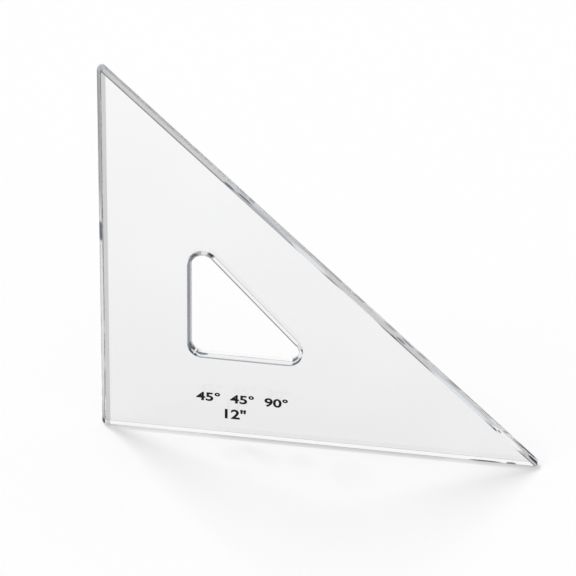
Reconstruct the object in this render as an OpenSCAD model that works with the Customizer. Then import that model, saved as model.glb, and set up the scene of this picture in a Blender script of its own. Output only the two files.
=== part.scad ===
// 45/45/90 drafting triangle, 12 inch: one clear acrylic sheet with polished
// edges, standing on its base edge. The square corner is at -X, the front
// face looks to -Y, and the origin is under the middle of the base edge.

/* [Sheet] */
// Length of each leg, from the square corner's edge to the blunt tip (12 inches)
leg = 304.8; // [280:0.1:400]
// Thickness of the acrylic sheet
thickness = 8; // [6:0.5:12]
// Radius that blunts the three outer corners
corner_r = 3; // [3:0.1:6]
// Width of the polished bevel along every edge, on both faces
arris = 2.5; // [0.2:0.1:2.8]

/* [Finger cut-out] */
// Border between the upright edge and the cut-out
cutout_x = 63; // [30:1:70]
// Border between the base edge and the cut-out
cutout_z = 72; // [30:1:75]
// Length of the cut-out's bottom side, between its sharp corners
cutout_w = 84; // [70:1:110]
// Length of the cut-out's upright side, between its sharp corners
cutout_h = 97; // [80:1:115]
// Radius of the cut-out's corners
cutout_r = 8; // [3:0.5:12]

/* [Hidden] */

// Facets to a full circle
$fn = 96;

// How far a cutting shape runs past what it cuts
overrun = 1;

// How far a rounded corner stays back from the sides it joins, so that no
// curved surface runs exactly along a flat one
blend = 0.005;

// Half of the sheet's thickness, and the half height of the flat edge between the two bevels
half_t = thickness / 2;
half_flat = half_t - arris;

// Length of a leg up to the sharp tip that the blunt one is rounded from
sharp_leg = leg + sqrt(2) * corner_r + blend;

// Corner centres of a right triangle with legs w and h whose corners have radius r,
// in the order square corner, top, tip
function corner_centres(w, h, r) =
    let (
        side = norm([w, h]),
        top_setback = r * (side + h) / w,
        tip_setback = r * (side + w) / h
    )
    [[r, r], [r, h - top_setback], [w - tip_setback, r]];

// Section of an edge, from inner outwards: it stands at radius between the
// waist heights and reaches radius + flare at half the slab's height
function rim(inner, radius, half, waist, flare) = [
    [inner, -half],
    [radius + flare, -half],
    [radius, -waist],
    [radius, waist],
    [radius + flare, half],
    [inner, half]
];

// What lies outside a rounded corner, from the outward direction of one of its
// sides round to that of the other
module corner_waste(from, to, radius, half, waist, flare) {
    half_angle = ((to - from + 360) % 360) / 2;
    reach = radius + abs(flare) + overrun;
    rotate([0, 0, from + half_angle])
        difference() {
            linear_extrude(height = 2 * half, center = true)
                polygon([
                    [0, 0],
                    reach * [cos(half_angle), -sin(half_angle)],
                    [reach / cos(half_angle), 0],
                    reach * [cos(half_angle), sin(half_angle)]
                ]);
            rotate_extrude()
                polygon(rim(0, radius - blend, half, waist, flare));
        }
}

// A right triangular slab with legs w and h: three long bars with the same rim
// cross to make its sides, and the same rim is turned round its corners
module rimmed_slab(w, h, radius, half, waist, flare) {
    centres = corner_centres(w, h, radius);
    outward = [180, atan2(w, h), -90];
    difference() {
        intersection_for(i = [0:2])
            translate(centres[i])
                rotate([90, 0, outward[i]])
                    linear_extrude(height = 2 * (w + h), center = true)
                        polygon(rim(-w - h, radius, half, waist, flare));
        for (i = [0:2])
            translate(centres[i])
                corner_waste(outward[i], outward[(i + 2) % 3], radius, half, waist, flare);
    }
}

// The whole sheet before the cut-out, its edges bevelled inwards at both faces
module blank() {
    rimmed_slab(sharp_leg, sharp_leg, corner_r, half_t, half_flat, -arris);
}

// The space of the finger cut-out, its bevels opening outwards at both faces
module finger_hole() {
    translate([cutout_x, cutout_z, 0])
        rimmed_slab(
            cutout_w,
            cutout_h,
            cutout_r,
            half_t + overrun,
            half_flat,
            arris + overrun
        );
}

// The finished triangle, stood up on its base edge
module acrylic_sheet() {
    color("lightblue", 0.45)
        translate([-leg / 2, 0, 0])
            rotate([90, 0, 0])
                difference() {
                    blank();
                    finger_hole();
                }
}

acrylic_sheet();
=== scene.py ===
"""A clear acrylic drafting triangle standing on its base edge on a white sweep."""
import math

import bmesh
import bpy
import numpy as np
from mathutils import Matrix, Vector


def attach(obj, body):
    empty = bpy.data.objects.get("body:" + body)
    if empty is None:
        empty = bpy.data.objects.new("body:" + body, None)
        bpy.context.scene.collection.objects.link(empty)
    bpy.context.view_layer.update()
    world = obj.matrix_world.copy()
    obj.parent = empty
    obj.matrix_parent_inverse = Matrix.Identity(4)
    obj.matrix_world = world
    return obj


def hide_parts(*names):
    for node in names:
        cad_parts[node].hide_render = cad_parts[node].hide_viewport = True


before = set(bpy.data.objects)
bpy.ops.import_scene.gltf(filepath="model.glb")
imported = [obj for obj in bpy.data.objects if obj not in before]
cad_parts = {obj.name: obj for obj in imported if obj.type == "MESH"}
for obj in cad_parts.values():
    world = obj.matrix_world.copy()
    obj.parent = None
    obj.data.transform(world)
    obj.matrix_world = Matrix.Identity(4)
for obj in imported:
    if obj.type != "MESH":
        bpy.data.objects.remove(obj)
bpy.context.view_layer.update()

MM = 0.001

# Sizes of the sheet, as in the CAD source
LEG = 304.8 * MM
HALF_T = 4.0 * MM
CORNER_R = 3.0 * MM
ARRIS = 2.5 * MM
CUTOUT_X, CUTOUT_Z = 63.0 * MM, 72.0 * MM
CUTOUT_W, CUTOUT_H = 84.0 * MM, 97.0 * MM
CUTOUT_R = 8.0 * MM
# Length of a leg up to the sharp tip that the blunt one is rounded from
SHARP_LEG = LEG + math.sqrt(2) * CORNER_R
# How far the polishing wheel has rounded the lines between two flats
POLISH_R = 0.22 * MM

# Points round each corner, and round each polished line
CORNER_STEPS = 48
POLISH_STEPS = 5


# ---------------------------------------------------------------- the sheet

def corner_walk(width, height, radius):
    """Centres and outward angles of a right triangle's rounded corners, anticlockwise
    from the square corner. Each centre is radius away from both sides of its corner:
    the tip's lies radius * (slope + width) / height in from the tip, and the top's
    radius * (slope + height) / width below the top, where slope is the long side. Each
    corner turns from one side's normal to the next one's in even steps."""
    slope = math.hypot(width, height)
    tip = (width - radius * (slope + width) / height, radius)
    top = (radius, height - radius * (slope + height) / width)
    lean = math.atan2(width, height)
    turns = [
        ((radius, radius), math.pi, 1.5 * math.pi),
        (tip, -0.5 * math.pi, lean),
        (top, lean, math.pi),
    ]
    steps = np.linspace(0.0, 1.0, CORNER_STEPS)
    centres = np.concatenate([np.tile(c, (CORNER_STEPS, 1)) for c, _, _ in turns])
    angles = np.concatenate([a + (b - a) * steps for _, a, b in turns])
    return centres, angles


def rim_section(flare):
    """Section of a polished edge from the front face to the back one, as (outward, y).
    Its corners are the face, the bevel and the flat edge; each corner is swapped for a
    short curve: the point at share s of it is the quadratic blend
    (1-s)^2 A + 2 s (1-s) P + s^2 B of the corner P and the points A, B on its two arms."""
    waist = HALF_T - ARRIS
    far = 2 * ARRIS
    line = np.array([
        (flare + math.copysign(far, flare), -HALF_T),
        (flare, -HALF_T),
        (0.0, -waist),
        (0.0, waist),
        (flare, HALF_T),
        (flare + math.copysign(far, flare), HALF_T),
    ])
    s = np.linspace(0.0, 1.0, POLISH_STEPS + 1)[:, None]
    points = []
    for before, at, after in zip(line[:-2], line[1:-1], line[2:]):
        a = at + (before - at) / np.linalg.norm(before - at) * POLISH_R
        b = at + (after - at) / np.linalg.norm(after - at) * POLISH_R
        points.append((1 - s) ** 2 * a + 2 * s * (1 - s) * at + s ** 2 * b)
    return np.concatenate(points)


def sheet_grid():
    """The whole skin of the sheet as one closed grid. Going round, it follows the three
    corners; going across, it runs over the outer rim from front to back, over the back
    face to the cut-out's rim, and back to the front. A point of a rim is
    centre + (radius + outward) * (cos angle, sin angle), at the section's own y."""
    outer_c, outer_a = corner_walk(SHARP_LEG, SHARP_LEG, CORNER_R)
    hole_c, hole_a = corner_walk(CUTOUT_W, CUTOUT_H, CUTOUT_R)
    hole_c = hole_c + (CUTOUT_X, CUTOUT_Z)
    outer_s = rim_section(-ARRIS)
    hole_s = rim_section(ARRIS)[::-1]

    def rim(centres, angles, radius, section):
        out = radius + section[None, :, 0]
        x = centres[:, 0, None] + out * np.cos(angles)[:, None]
        z = centres[:, 1, None] + out * np.sin(angles)[:, None]
        y = np.broadcast_to(section[None, :, 1], x.shape)
        return np.stack([x - LEG / 2, y, z], axis=-1)

    return np.concatenate(
        [rim(outer_c, outer_a, CORNER_R, outer_s), rim(hole_c, hole_a, CUTOUT_R, hole_s)],
        axis=1,
    )


def closed_grid_mesh(name, grid):
    """Mesh of a grid that closes both ways: point (i, j) is joined to (i+1, j),
    (i+1, j+1) and (i, j+1), each counted round."""
    rows, cols = grid.shape[:2]
    index = np.arange(rows * cols).reshape(rows, cols)
    down = np.roll(index, -1, axis=0)
    quads = np.stack(
        [index, np.roll(index, -1, axis=1), np.roll(down, -1, axis=1), down], axis=-1
    ).reshape(-1, 4)
    mesh = bpy.data.meshes.new(name)
    mesh.from_pydata(grid.reshape(-1, 3).tolist(), [], quads.tolist())
    return mesh


def outward(mesh):
    """Merges doubles and turns every face outwards."""
    bm = bmesh.new()
    bm.from_mesh(mesh)
    bmesh.ops.remove_doubles(bm, verts=bm.verts, dist=1e-7)
    bmesh.ops.recalc_face_normals(bm, faces=bm.faces)
    bm.to_mesh(mesh)
    bm.free()
    return mesh


def add_piece(name, mesh, material):
    """A piece of the triangle: its object sits at the origin and rides on the root."""
    mesh.materials.append(material)
    piece = bpy.data.objects.new(name, mesh)
    bpy.context.collection.objects.link(piece)
    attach(piece, "root")
    return piece


# ---------------------------------------------------------------- materials

# The rims, bevels and flats alike, are all that lies less than this from the middle plane
FACE_DEPTH = HALF_T - 0.02 * MM
RIM_ROUGHNESS = 0.05
ACRYLIC_IOR = 1.49
# Tint of the acrylic's body, and how fast it takes light away, per metre
BODY_TINT, SIGHT_LOSS = (0.82, 0.83, 0.85, 1.0), 2.0
# Colour of the faces at the base and at the top, a tint made darker towards the base
# with painted shade, and of the faint clouds in them
FACE_LOW_SHADED, FACE_HIGH = (0.845, 0.845, 0.85, 1.0), (0.94, 0.94, 0.945, 1.0)
FACE_CLOUD, CLOUD_SHARE = (0.955, 0.96, 0.965, 1.0), 0.25
# Share of a lamp's light that a face lets through: at the upright and sloping edges,
# and beyond EDGE_GLOOM from them, in mm
EDGE_SHADE, FACE_SHADE, EDGE_GLOOM = 0.77, 1.0, 28.0
# A dim band of colour along the upright edge, in place of the edge's own reflection in
# the face: from and to, in mm from the edge, and its colour
DIM_BAND = (3.2, 6.3, (0.42, 0.42, 0.425, 1.0))
# A band of painted light along the base edge of the front face, white where the face
# looks lit up by the edge: height in mm and colour
PAINTED_LIGHT_BAND = (6.4, (1.0, 1.0, 1.0, 1.0))

# The buffed edges of the sheet. Each one's line is where a * x + b * z = c, with x and z
# counted from the square corner, and a row gives a, b and c; 1 if its bevels lean
# towards +x or +z and -1 if not; the share of a lamp's light that it lets through; and
# its tones from the front face over bevel, flat and bevel to the back one, as place,
# colour and how clear it is. The tones are painted reflection and painted shade: light
# and dark bands that stand in for what each edge reflects and refracts
RIM_EDGES = {
    "upright": ((1.0, 0.0, 0.0), 1, 0.03, (
        (0.00, (0.30, 0.30, 0.31), 0.2), (0.26, (0.28, 0.28, 0.29), 0.2),
        (0.31, (0.28, 0.28, 0.29), 0.2), (0.40, (0.99, 0.99, 0.99), 1.0),
        (1.00, (0.99, 0.99, 0.99), 1.0),
    )),
    "base": ((0.0, 1.0, 0.0), 1, 0.3, (
        (0.00, (0.06, 0.06, 0.07), 0.0), (0.31, (0.06, 0.06, 0.07), 0.0),
        (0.36, (0.99, 0.99, 0.99), 1.0), (0.95, (0.99, 0.99, 0.99), 1.0),
        (0.98, (0.65, 0.65, 0.65), 0.7), (1.00, (0.65, 0.65, 0.65), 0.7),
    )),
    "sloping": ((1.0, 1.0, SHARP_LEG), -1, 0.03, (
        (0.00, (0.26, 0.26, 0.28), 0.3), (0.06, (0.26, 0.26, 0.28), 0.3),
        (0.09, (0.72, 0.72, 0.73), 0.4), (0.31, (0.76, 0.76, 0.77), 0.4),
        (0.64, (0.84, 0.84, 0.85), 0.4), (0.66, (0.40, 0.40, 0.43), 0.2),
        (1.00, (0.40, 0.40, 0.43), 0.2),
    )),
    "cutout_upright": ((1.0, 0.0, CUTOUT_X), -1, 0.9, (
        (0.00, (0.42, 0.43, 0.46), 0.3), (0.05, (0.28, 0.30, 0.34), 0.2),
        (0.14, (0.23, 0.25, 0.29), 0.2), (0.19, (0.25, 0.27, 0.30), 0.2),
        (0.23, (0.66, 0.66, 0.66), 0.1), (1.00, (0.66, 0.66, 0.66), 0.1),
    )),
    "cutout_base": ((0.0, 1.0, CUTOUT_Z), -1, 0.9, (
        (0.00, (0.40, 0.43, 0.50), 0.1), (0.06, (0.46, 0.49, 0.56), 0.1),
        (0.10, (1.00, 1.00, 1.00), 1.0), (0.30, (1.00, 1.00, 1.00), 1.0),
        (0.33, (0.99, 0.99, 0.99), 0.0), (0.64, (0.99, 0.99, 0.99), 0.0),
        (0.67, (0.80, 0.80, 0.81), 0.0), (1.00, (0.80, 0.80, 0.81), 0.0),
    )),
    "cutout_sloping": ((
        CUTOUT_H, CUTOUT_W, CUTOUT_H * CUTOUT_X + CUTOUT_W * (CUTOUT_Z + CUTOUT_H)
    ), 1, 0.9, (
        (0.00, (0.04, 0.04, 0.05), 0.0), (0.57, (0.04, 0.04, 0.05), 0.0),
        (0.63, (0.98, 0.98, 0.98), 1.0), (0.95, (0.98, 0.98, 0.98), 1.0),
        (0.97, (0.66, 0.66, 0.66), 0.6), (1.00, (0.66, 0.66, 0.66), 0.6),
    )),
}
# An edge's tones fade in between these distances from its line, in mm
EDGE_FADE = (1.2, 0.4)
# A rim further than this from every outer edge is the cut-out's, in mm
CUTOUT_BEYOND = 10.0
# The rim where it turns between two edges: its shade, its colour and clearness on the
# outer corners, and its tones on the cut-out's. The colour and the tones are painted
# reflection and painted shade: dark arcs with a thin painted highlight
TURN_SHADE = 0.3
OUTER_TURN, OUTER_TURN_CLEARNESS = (0.42, 0.43, 0.45, 1.0), 0.3
CUTOUT_TURN = (
    (0.00, (0.10, 0.12, 0.15), 0.0), (0.11, (0.07, 0.08, 0.11), 0.0),
    (0.15, (0.80, 0.81, 0.83), 0.6), (0.20, (0.80, 0.81, 0.83), 0.6),
    (0.24, (0.08, 0.09, 0.12), 0.0), (0.44, (0.08, 0.09, 0.12), 0.0),
    (0.52, (0.50, 0.50, 0.52), 0.3), (1.00, (0.50, 0.50, 0.52), 0.3),
)

# Faint streaks on the rims, and how much of them shows
STREAK_TONE, STREAK_SHARE = (0.9, 0.93, 0.96, 1.0), 0.10

# Painted highlights and painted shade on the rims: light and dark patches standing in
# for what the edges reflect and refract, in mm: middle (x, y, z), the way it runs in
# degrees below x, half lengths along and across it and through the thickness, its
# colour and clearness.
# Each is whole up to MARK_WHOLE of its reach, and fades from there
MARK_WHOLE = 0.7
ALONG_SLOPE, UPRIGHT, LEVEL = 45.0, 90.0, 0.0
PAINTED_REFLECTION_MARKS = (
    # the sloping edge, from the top to the tip
    ((-43.0, -3.6, 200.0), ALONG_SLOPE, (40.0, 6.0, 1.5), (0.58, 0.62, 0.68), 0.2),
    ((-62.0, -3.2, 219.0), ALONG_SLOPE, (6.0, 6.0, 0.6), (0.16, 0.18, 0.22), 0.1),
    ((-52.0, -2.6, 209.0), ALONG_SLOPE, (8.0, 6.0, 0.5), (0.20, 0.23, 0.28), 0.1),
    ((-7.0, -3.2, 164.0), ALONG_SLOPE, (22.0, 6.0, 1.4), (0.78, 0.84, 0.88), 0.7),
    ((28.0, -3.9, 129.0), ALONG_SLOPE, (30.0, 6.0, 0.7), (0.90, 0.88, 0.84), 0.8),
    ((52.0, -3.6, 105.0), ALONG_SLOPE, (5.0, 6.0, 0.5), (0.14, 0.18, 0.24), 0.1),
    ((56.0, -2.5, 101.0), ALONG_SLOPE, (5.0, 6.0, 0.5), (0.20, 0.24, 0.28), 0.1),
    ((60.0, -0.6, 97.0), ALONG_SLOPE, (7.0, 6.0, 0.8), (0.14, 0.16, 0.20), 0.1),
    ((98.5, -3.6, 58.5), ALONG_SLOPE, (38.0, 6.0, 1.4), (0.80, 0.85, 0.92), 0.7),
    ((104.0, 1.6, 50.0), ALONG_SLOPE, (64.0, 6.0, 1.1), (0.08, 0.09, 0.11), 0.0),
    ((133.0, -3.2, 25.0), ALONG_SLOPE, (20.0, 6.0, 1.7), (0.99, 0.99, 0.99), 0.9),
    ((130.0, -0.9, 28.0), ALONG_SLOPE, (22.0, 6.0, 1.4), (0.80, 0.85, 0.92), 0.6),
    ((124.0, -3.7, 34.0), ALONG_SLOPE, (3.0, 6.0, 0.6), (0.14, 0.16, 0.20), 0.0),
    ((126.5, -3.0, 31.0), ALONG_SLOPE, (2.5, 6.0, 0.4), (0.30, 0.34, 0.42), 0.0),
    ((145.0, 0.6, 12.0), ALONG_SLOPE, (10.0, 6.0, 1.2), (0.03, 0.04, 0.07), 0.0),
    ((150.0, -2.0, 7.0), ALONG_SLOPE, (6.0, 6.0, 0.8), (0.05, 0.06, 0.10), 0.0),
    ((-149.5, 0.0, 304.0), ALONG_SLOPE, (5.0, 5.0, 3.4), (0.66, 0.70, 0.76), 0.5),
    # the upright edge
    ((-151.6, -1.8, 104.0), UPRIGHT, (112.0, 3.0, 3.6), (0.72, 0.72, 0.73), 0.5),
    ((-151.0, -2.6, 169.5), UPRIGHT, (9.5, 3.0, 5.0), (0.08, 0.10, 0.13), 0.0),
    ((-150.8, -2.0, 4.0), UPRIGHT, (3.0, 3.0, 3.0), (0.04, 0.05, 0.09), 0.0),
    # the base edge: two light stretches, two dark marks near the tip and one at the left
    ((-110.0, -2.8, 1.0), LEVEL, (50.0, 3.0, 2.4), (0.85, 0.85, 0.86), 0.6),
    ((98.0, -2.8, 1.0), LEVEL, (14.0, 3.0, 2.0), (0.60, 0.60, 0.61), 0.5),
    ((116.0, 1.7, 1.0), LEVEL, (13.0, 3.0, 0.5), (0.14, 0.15, 0.17), 0.0),
    ((134.0, 1.9, 1.0), LEVEL, (4.0, 3.0, 0.7), (0.30, 0.36, 0.46), 0.1),
    ((-147.8, -2.8, 1.0), LEVEL, (1.4, 3.0, 2.4), (0.16, 0.15, 0.14), 0.0),
    # the cut-out's corners: top, square and tip
    ((-80.5, 0.0, 158.0), LEVEL, (4.0, 3.0, 6.0), (0.85, 0.85, 0.86), 0.8),
    ((-75.2, 0.0, 157.2), ALONG_SLOPE, (5.2, 4.0, 6.0), (0.08, 0.09, 0.12), 0.0),
    ((-87.2, 0.0, 153.2), -ALONG_SLOPE, (4.2, 3.2, 6.0), (0.12, 0.14, 0.17), 0.0),
    ((-89.6, -2.4, 78.2), UPRIGHT, (3.8, 3.2, 1.3), (0.12, 0.14, 0.18), 0.1),
    ((-82.0, -1.9, 71.4), LEVEL, (5.0, 3.0, 0.8), (0.26, 0.28, 0.32), 0.1),
    ((-86.5, 0.0, 73.5), ALONG_SLOPE, (1.0, 3.0, 6.0), (0.80, 0.80, 0.82), 0.8),
    ((-14.5, 0.0, 82.0), UPRIGHT, (7.0, 4.5, 7.0), (0.88, 0.88, 0.89), 0.8),
)


def new_material(name):
    """A new material with its nodes and its links."""
    material = bpy.data.materials.new(name)
    material.use_nodes = True
    return material, material.node_tree.nodes, material.node_tree.links


def feed(links, socket, value):
    """Links another node's result to a socket, or sets it to a number or a colour."""
    if isinstance(value, bpy.types.NodeSocket):
        links.new(value, socket)
    else:
        socket.default_value = value


def math_node(nodes, links, operation, *values):
    """Adds a Math node fed by sockets or plain numbers, and gives its result."""
    node = nodes.new("ShaderNodeMath")
    node.operation = operation
    for socket, value in zip(node.inputs, values):
        feed(links, socket, value)
    return node.outputs[0]


def ease(nodes, links, value, start, end, curve="SMOOTHSTEP"):
    """0 at start and 1 at end, smooth or straight between."""
    node = nodes.new("ShaderNodeMapRange")
    node.interpolation_type = curve
    node.inputs["From Min"].default_value = start
    node.inputs["From Max"].default_value = end
    links.new(value, node.inputs["Value"])
    return node.outputs["Result"]


def mix_numbers(nodes, links, share, first, second, kind="FLOAT"):
    """first where share is 0 and second where it is 1; each a socket or a number."""
    node = nodes.new("ShaderNodeMix")
    node.data_type = kind
    links.new(share, node.inputs["Factor"])
    feed(links, node.inputs["A"], first)
    feed(links, node.inputs["B"], second)
    return node.outputs["Result"]


def mix_colours(nodes, links, share, first, second):
    """first where share is 0 and second where it is 1; each a socket or a colour."""
    return mix_numbers(nodes, links, share, first, second, "RGBA")


def noise(nodes, links, place, scale, detail):
    """Noise on the piece's own coordinates, with scale cells to the metre."""
    node = nodes.new("ShaderNodeTexNoise")
    node.inputs["Scale"].default_value = scale
    node.inputs["Detail"].default_value = detail
    links.new(place.outputs["Object"], node.inputs["Vector"])
    return node.outputs["Fac"]


def relief(nodes, links, shader, height, rise, strength):
    """Gives the shader bumps rise high, at a strength that is a socket or a number."""
    bump = nodes.new("ShaderNodeBump")
    bump.inputs["Distance"].default_value = rise
    feed(links, bump.inputs["Strength"], strength)
    links.new(height, bump.inputs["Height"])
    links.new(bump.outputs["Normal"], shader.inputs["Normal"])


def tone_ramp(nodes, links, name, through, tones):
    """A ramp of tones over the thickness, painted reflection and shade; gives its colour and its
    clearness.
    """
    ramp = nodes.new("ShaderNodeValToRGB")
    ramp.label = name
    links.new(through, ramp.inputs["Fac"])
    stops = ramp.color_ramp.elements
    while len(stops) < len(tones):
        stops.new(0.5)
    for stop, (at, tone, clearness) in zip(stops, tones):
        stop.position = at
        stop.color = tone + (clearness,)
    return ramp.outputs["Color"], ramp.outputs["Alpha"]


def rim_finish(nodes, links, place, split, depth, gap):
    """The colour, the clearness and the shade of the rims: every edge mixes its own
    ramp of painted reflection and shade over the thickness in where the surface lies on
    its bevels or its flat, which is the edge's line moved by flare = max(depth - half the
    flat, 0). gap, the way to the nearest outer edge, keeps the outer edges and the
    cut-out's apart. Faint streaks lighten it, and the painted reflection marks, soft
    stretched balls of painted highlight and painted shade, come on top."""
    through = ease(nodes, links, split.outputs["Y"], -HALF_T, HALF_T, "LINEAR")
    flare = math_node(nodes, links, "MAXIMUM", 0.0, math_node(
        nodes, links, "SUBTRACT", depth, HALF_T - ARRIS))
    inner = math_node(nodes, links, "GREATER_THAN", gap, CUTOUT_BEYOND * MM)
    outer = math_node(nodes, links, "SUBTRACT", 1.0, inner)
    turn_colour, turn_clear = tone_ramp(nodes, links, "cutout_turn", through, CUTOUT_TURN)
    colour = mix_colours(nodes, links, inner, OUTER_TURN, turn_colour)
    clear = mix_numbers(nodes, links, inner, OUTER_TURN_CLEARNESS, turn_clear)
    shade = TURN_SHADE
    outside, inside = EDGE_FADE
    for name, ((per_x, per_z, offset), leans, lets, tones) in RIM_EDGES.items():
        steep = math.hypot(per_x, per_z)
        dot = nodes.new("ShaderNodeVectorMath")
        dot.operation = "DOT_PRODUCT"
        links.new(place.outputs["Object"], dot.inputs[0])
        dot.inputs[1].default_value = (per_x / steep, 0.0, per_z / steep)
        line = (offset - per_x * LEG / 2) / steep
        away = math_node(nodes, links, "ABSOLUTE", math_node(
            nodes, links, "SUBTRACT", dot.outputs["Value"], math_node(
                nodes, links, "MULTIPLY_ADD", flare, float(leans), line)))
        near = math_node(
            nodes, links, "MULTIPLY", ease(nodes, links, away, outside * MM, inside * MM),
            inner if name.startswith("cutout") else outer)
        # Each edge's tones over the thickness: painted reflection and painted shade
        edge_colour, edge_clear = tone_ramp(nodes, links, name, through, tones)
        colour = mix_colours(nodes, links, near, colour, edge_colour)
        clear = mix_numbers(nodes, links, near, clear, edge_clear)
        shade = mix_numbers(nodes, links, near, shade, lets)
    streak = ease(nodes, links, noise(nodes, links, place, 45.0, 3.0), 0.35, 0.75)
    lift = math_node(nodes, links, "MULTIPLY", streak, STREAK_SHARE)
    colour = mix_colours(nodes, links, lift, colour, STREAK_TONE)
    # Painted highlights and painted shade: light and dark patches laid over the rims' tones
    for (x, y, z), lean, (along, across, deep), tone, clearness in PAINTED_REFLECTION_MARKS:
        mark = nodes.new("ShaderNodeMapping")
        mark.vector_type = "TEXTURE"
        mark.inputs["Location"].default_value = (x * MM, y * MM, z * MM)
        mark.inputs["Rotation"].default_value = (0.0, math.radians(lean), 0.0)
        mark.inputs["Scale"].default_value = (along * MM, deep * MM, across * MM)
        links.new(place.outputs["Object"], mark.inputs["Vector"])
        reach = nodes.new("ShaderNodeVectorMath")
        reach.operation = "LENGTH"
        links.new(mark.outputs["Vector"], reach.inputs[0])
        marked = ease(nodes, links, reach.outputs["Value"], 1.0, MARK_WHOLE)
        colour = mix_colours(nodes, links, marked, colour, tone + (1.0,))
        clear = mix_numbers(nodes, links, marked, clear, clearness)
    return colour, clear, shade


def clear_acrylic():
    """Clear cast acrylic. The two faces are as smooth as glass, with a tint made darker
    towards the base with painted shade, and the front one has a band of painted light
    along the base edge and one of painted reflection along the upright edge; the buffed
    rims, which are all that lies less than FACE_DEPTH from the middle plane, are a little
    hazy and carry painted reflection and painted shade in their tones. Lamps shine
    straight through it, and lose some of their light near the upright and sloping edges."""
    material, nodes, links = new_material("clear_acrylic")
    shader = nodes["Principled BSDF"]
    shader.inputs["IOR"].default_value = ACRYLIC_IOR
    place = nodes.new("ShaderNodeTexCoord")
    split = nodes.new("ShaderNodeSeparateXYZ")
    links.new(place.outputs["Object"], split.inputs[0])
    depth = math_node(nodes, links, "ABSOLUTE", split.outputs["Y"])
    on_rim = math_node(nodes, links, "LESS_THAN", depth, FACE_DEPTH)

    side = math_node(nodes, links, "ADD", split.outputs["X"], LEG / 2)
    slope = math_node(
        nodes, links, "MULTIPLY", math.sqrt(0.5), math_node(
            nodes, links, "SUBTRACT", LEG, math_node(
                nodes, links, "ADD", side, split.outputs["Z"])))
    side_gap = math_node(nodes, links, "MINIMUM", slope, side)
    gap = math_node(nodes, links, "MINIMUM", side_gap, split.outputs["Z"])

    # The colour of the faces, darker towards the base with painted shade, and the two bands
    # on the front one: painted light along the base edge and a painted reflection of the
    # upright edge
    height = ease(nodes, links, split.outputs["Z"], 0.0, LEG, "LINEAR")
    face = mix_colours(nodes, links, height, FACE_LOW_SHADED, FACE_HIGH)
    cloud = ease(nodes, links, noise(nodes, links, place, 9.0, 1.0), 0.4, 0.7)
    cloudy = math_node(nodes, links, "MULTIPLY", cloud, CLOUD_SHARE)
    face = mix_colours(nodes, links, cloudy, face, FACE_CLOUD)
    front = math_node(nodes, links, "LESS_THAN", split.outputs["Y"], 0.0)
    # Painted light: the front face turns white along the base edge
    rise, bright = PAINTED_LIGHT_BAND
    low = ease(nodes, links, split.outputs["Z"], rise * MM, (rise - 0.4) * MM)
    face = mix_colours(
        nodes, links, math_node(nodes, links, "MULTIPLY", front, low), face, bright)
    start, stop, dim = DIM_BAND
    band = math_node(
        nodes, links, "MULTIPLY", ease(nodes, links, side, stop * MM, (stop - 0.3) * MM),
        ease(nodes, links, side, (start - 0.2) * MM, start * MM))
    face = mix_colours(nodes, links, math_node(nodes, links, "MULTIPLY", front, band), face, dim)
    rim, rim_clear, rim_shade = rim_finish(nodes, links, place, split, depth, gap)
    links.new(mix_colours(nodes, links, on_rim, face, rim), shader.inputs["Base Color"])

    rough = math_node(nodes, links, "MULTIPLY", on_rim, RIM_ROUGHNESS)
    links.new(rough, shader.inputs["Roughness"])
    clear = mix_numbers(nodes, links, on_rim, 1.0, rim_clear)
    links.new(clear, shader.inputs["Transmission Weight"])

    # The fine grain that the buffing wheel leaves, on the rims alone
    buffed = math_node(nodes, links, "MULTIPLY", on_rim, 0.25)
    relief(nodes, links, shader, noise(nodes, links, place, 900.0, 2.0), 0.02 * MM, buffed)

    # What a lamp's light meets on its way through
    path = nodes.new("ShaderNodeLightPath")
    shade = nodes.new("ShaderNodeBsdfTransparent")
    gloom = mix_numbers(
        nodes, links, ease(nodes, links, side_gap, 0.0, EDGE_GLOOM * MM), EDGE_SHADE, FACE_SHADE)
    links.new(mix_numbers(nodes, links, on_rim, gloom, rim_shade), shade.inputs["Color"])
    swap = nodes.new("ShaderNodeMixShader")
    links.new(path.outputs["Is Shadow Ray"], swap.inputs[0])
    links.new(shader.outputs[0], swap.inputs[1])
    links.new(shade.outputs[0], swap.inputs[2])
    links.new(swap.outputs[0], nodes["Material Output"].inputs["Surface"])

    body = nodes.new("ShaderNodeVolumeAbsorption")
    body.inputs["Color"].default_value = BODY_TINT
    body.inputs["Density"].default_value = SIGHT_LOSS
    links.new(body.outputs[0], nodes["Material Output"].inputs["Volume"])
    return material


INK_FULL, INK_THIN = (0.006, 0.006, 0.007, 1.0), (0.018, 0.018, 0.020, 1.0)


def black_ink():
    """Black screen ink: a matt film that is a shade thinner in places, with the fine
    grain that the mesh of the screen leaves."""
    material, nodes, links = new_material("printed_ink")
    shader = nodes["Principled BSDF"]
    shader.inputs["Specular IOR Level"].default_value = 0.1
    place = nodes.new("ShaderNodeTexCoord")
    thin = ease(nodes, links, noise(nodes, links, place, 400.0, 3.0), 0.45, 0.75)
    colour = mix_colours(nodes, links, thin, INK_FULL, INK_THIN)
    links.new(colour, shader.inputs["Base Color"])
    links.new(mix_numbers(nodes, links, thin, 0.42, 0.56), shader.inputs["Roughness"])
    relief(nodes, links, shader, noise(nodes, links, place, 3000.0, 2.0), 0.01 * MM, 0.4)
    return material


acrylic = clear_acrylic()
ink = black_ink()

sheet = add_piece(
    "clear_sheet", outward(closed_grid_mesh("clear_sheet", sheet_grid())), acrylic
)
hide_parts("acrylic_sheet")


# ---------------------------------------------------------------- the print

# How far the ink stands out of the front face, and how far its back lies in it
INK_FRONT = HALF_T + 0.03 * MM
INK_SUNK = 0.01 * MM
# How much the letters are thickened, as a share of their size
INK_WEIGHT = 0.03


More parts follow.
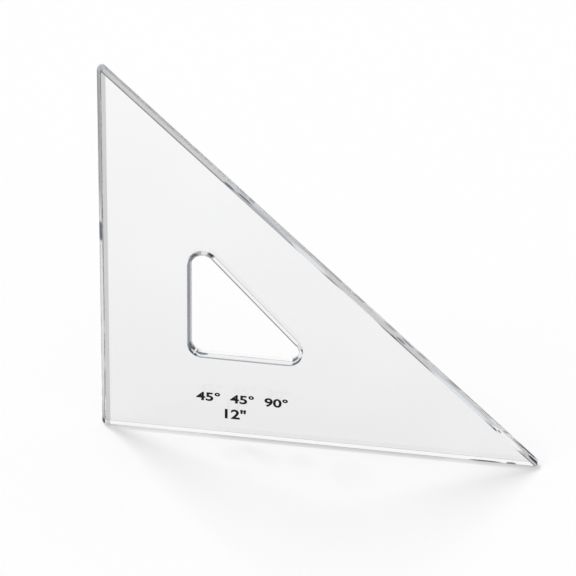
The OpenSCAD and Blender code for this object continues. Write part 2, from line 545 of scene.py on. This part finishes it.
def printed(name, words, left, base, cap_height, width):
    """A line of print on the front face: the letters' outlines are scaled so that they
    stand cap_height tall and run width from left, and are laid on the face as a thin
    closed layer of ink."""
    curve = bpy.data.curves.new(name, "FONT")
    curve.body = words
    curve.offset = INK_WEIGHT
    curve.resolution_u = 6
    curve.extrude = 0.5
    draft = bpy.data.objects.new(name + "_draft", curve)
    bpy.context.collection.objects.link(draft)
    graph = bpy.context.evaluated_depsgraph_get()
    mesh = bpy.data.meshes.new_from_object(draft.evaluated_get(graph))
    bpy.data.objects.remove(draft)
    mesh.name = name
    co = np.empty(len(mesh.vertices) * 3, dtype=np.float32)
    mesh.vertices.foreach_get("co", co)
    co = co.reshape(-1, 3).astype(float)
    low, high = co.min(axis=0), co.max(axis=0)
    share = (co - low) / (high - low)
    placed = np.empty_like(co)
    placed[:, 0] = left + share[:, 0] * width
    placed[:, 2] = base + share[:, 1] * cap_height
    placed[:, 1] = -(HALF_T - INK_SUNK) - share[:, 2] * (INK_FRONT - HALF_T + INK_SUNK)
    mesh.vertices.foreach_set("co", placed.astype(np.float32).ravel())
    mesh.update()
    return add_piece(name, outward(mesh), ink)


printed(
    "angle_print", "45°  45°  90°",
    left=-85.7 * MM, base=31.8 * MM, cap_height=8.1 * MM, width=64.0 * MM)
printed(
    "size_print", '12"',
    left=-65.7 * MM, base=17.9 * MM, cap_height=8.8 * MM, width=14.8 * MM)


# ---------------------------------------------------------------- stage

FLOOR_REACH = 12.0
FLOOR_COLOUR = (0.97, 0.97, 0.97, 1.0)
# How much of the floor's white is its own, to the camera and through the acrylic, and
# how bright that white is
FLOOR_GLOW, ACRYLIC_GLOW, GLOW_STRENGTH = 0.46, 0.8, 0.99


def floor():
    """The white floor: part of its white is its own, and the rest is lit and takes the
    shadow."""
    mesh = bpy.data.meshes.new("floor")
    corners = [(x * FLOOR_REACH, y * FLOOR_REACH, 0) for x, y in (
        (-1, -1), (1, -1), (1, 1), (-1, 1))]
    mesh.from_pydata(corners, [], [(0, 1, 2, 3)])
    material, nodes, links = new_material("white_sweep")
    shader = nodes["Principled BSDF"]
    shader.inputs["Base Color"].default_value = FLOOR_COLOUR
    shader.inputs["Roughness"].default_value = 1.0
    shader.inputs["Specular IOR Level"].default_value = 0.0
    path = nodes.new("ShaderNodeLightPath")
    in_acrylic = math_node(
        nodes, links, "MULTIPLY", ACRYLIC_GLOW, math_node(
            nodes, links, "MAXIMUM",
            path.outputs["Is Transmission Ray"], path.outputs["Is Glossy Ray"]))
    to_camera = math_node(nodes, links, "MULTIPLY", path.outputs["Is Camera Ray"], FLOOR_GLOW)
    white = nodes.new("ShaderNodeEmission")
    white.inputs["Strength"].default_value = GLOW_STRENGTH
    swap = nodes.new("ShaderNodeMixShader")
    links.new(math_node(nodes, links, "MAXIMUM", in_acrylic, to_camera), swap.inputs[0])
    links.new(shader.outputs[0], swap.inputs[1])
    links.new(white.outputs[0], swap.inputs[2])
    links.new(swap.outputs[0], nodes["Material Output"].inputs["Surface"])
    mesh.materials.append(material)
    ground = bpy.data.objects.new("floor", mesh)
    bpy.context.collection.objects.link(ground)


floor()


def soft_sun(name, towards, strength, spread):
    """A soft lamp far away in the direction towards; spread is its width in degrees."""
    data = bpy.data.lights.new(name, "SUN")
    data.energy = strength
    data.angle = math.radians(spread)
    lamp = bpy.data.objects.new(name, data)
    bpy.context.collection.objects.link(lamp)
    lamp.location = towards
    lamp.rotation_euler = (-Vector(towards)).to_track_quat("-Z", "Y").to_euler()
    # Its light shines straight through the acrylic, so it isn't counted there twice
    lamp.visible_transmission = False
    lamp.visible_glossy = False


soft_sun("key_lamp", towards=(-1.14, 0.82, 1.95), strength=1.98, spread=18.0)
soft_sun("fill_lamp", towards=(-1.3, -0.55, 1.3), strength=0.57, spread=22.0)


# The studio's sky, by the upward part of the direction one looks in: white up to the
# first value, dark grey from the second; and the even grey that it lights things with
SKY_WHITE, SKY_GREY = (0.3, (1.0, 1.0, 1.0, 1.0)), (0.75, (0.15, 0.16, 0.18, 1.0))
SKY_LIGHT = (0.38, 0.38, 0.38, 1.0)


def studio_world():
    """White all round up to a little above the horizon, darker overhead; an even grey
    for light that has already met a surface that scatters it."""
    world = bpy.data.worlds.new("studio")
    bpy.context.scene.world = world
    world.use_nodes = True
    nodes, links = world.node_tree.nodes, world.node_tree.links
    background = nodes["Background"]
    place = nodes.new("ShaderNodeTexCoord")
    split = nodes.new("ShaderNodeSeparateXYZ")
    links.new(place.outputs["Generated"], split.inputs[0])
    ramp = nodes.new("ShaderNodeValToRGB")
    links.new(split.outputs["Z"], ramp.inputs["Fac"])
    stops = ramp.color_ramp.elements
    for stop, (height, colour) in zip(stops, (SKY_WHITE, SKY_GREY)):
        stop.position = height
        stop.color = colour
    path = nodes.new("ShaderNodeLightPath")
    sky = mix_colours(
        nodes, links, path.outputs["Diffuse Depth"], ramp.outputs["Color"], SKY_LIGHT)
    links.new(sky, background.inputs["Color"])
    background.inputs["Strength"].default_value = 1.0


studio_world()


# ---------------------------------------------------------------- camera

CAMERA_AT = (0.33791, -2.65789, 2.20933)
# Yaw, pitch down and roll, in degrees
CAMERA_TURN = (7.738, 37.7291, 0.75)
# Focal length in pixels, in a picture of 576 pixels
FOCAL_PIXELS, PICTURE_PIXELS = 5000.0, 576.0
SENSOR_MM = 36.0


def photo_camera():
    """A long lens 3.5 m away, turned by yaw and pitched down, with a slight roll."""
    yaw, pitch, roll = (math.radians(turn) for turn in CAMERA_TURN)
    right = Vector((math.cos(yaw), math.sin(yaw), 0.0))
    ahead = Vector((
        -math.sin(yaw) * math.cos(pitch), math.cos(yaw) * math.cos(pitch), -math.sin(pitch)
    ))
    up = right.cross(ahead)
    right, up = (
        math.cos(roll) * right + math.sin(roll) * up,
        math.cos(roll) * up - math.sin(roll) * right,
    )
    data = bpy.data.cameras.new("camera")
    data.sensor_width = SENSOR_MM
    data.lens = SENSOR_MM * FOCAL_PIXELS / PICTURE_PIXELS
    data.clip_start, data.clip_end = 0.1, 100.0
    camera = bpy.data.objects.new("camera", data)
    bpy.context.collection.objects.link(camera)
    turn = Matrix((right, up, -ahead)).transposed()
    camera.matrix_world = Matrix.Translation(CAMERA_AT) @ turn.to_4x4()
    bpy.context.scene.camera = camera


photo_camera()

bpy.context.scene.view_settings.view_transform = "Standard"
# Light crosses the clear sheet many times over before it leaves its edges
BOUNCES = 32
bpy.context.scene.cycles.max_bounces = BOUNCES
bpy.context.scene.cycles.transmission_bounces = BOUNCES
bpy.context.scene.cycles.glossy_bounces = BOUNCES
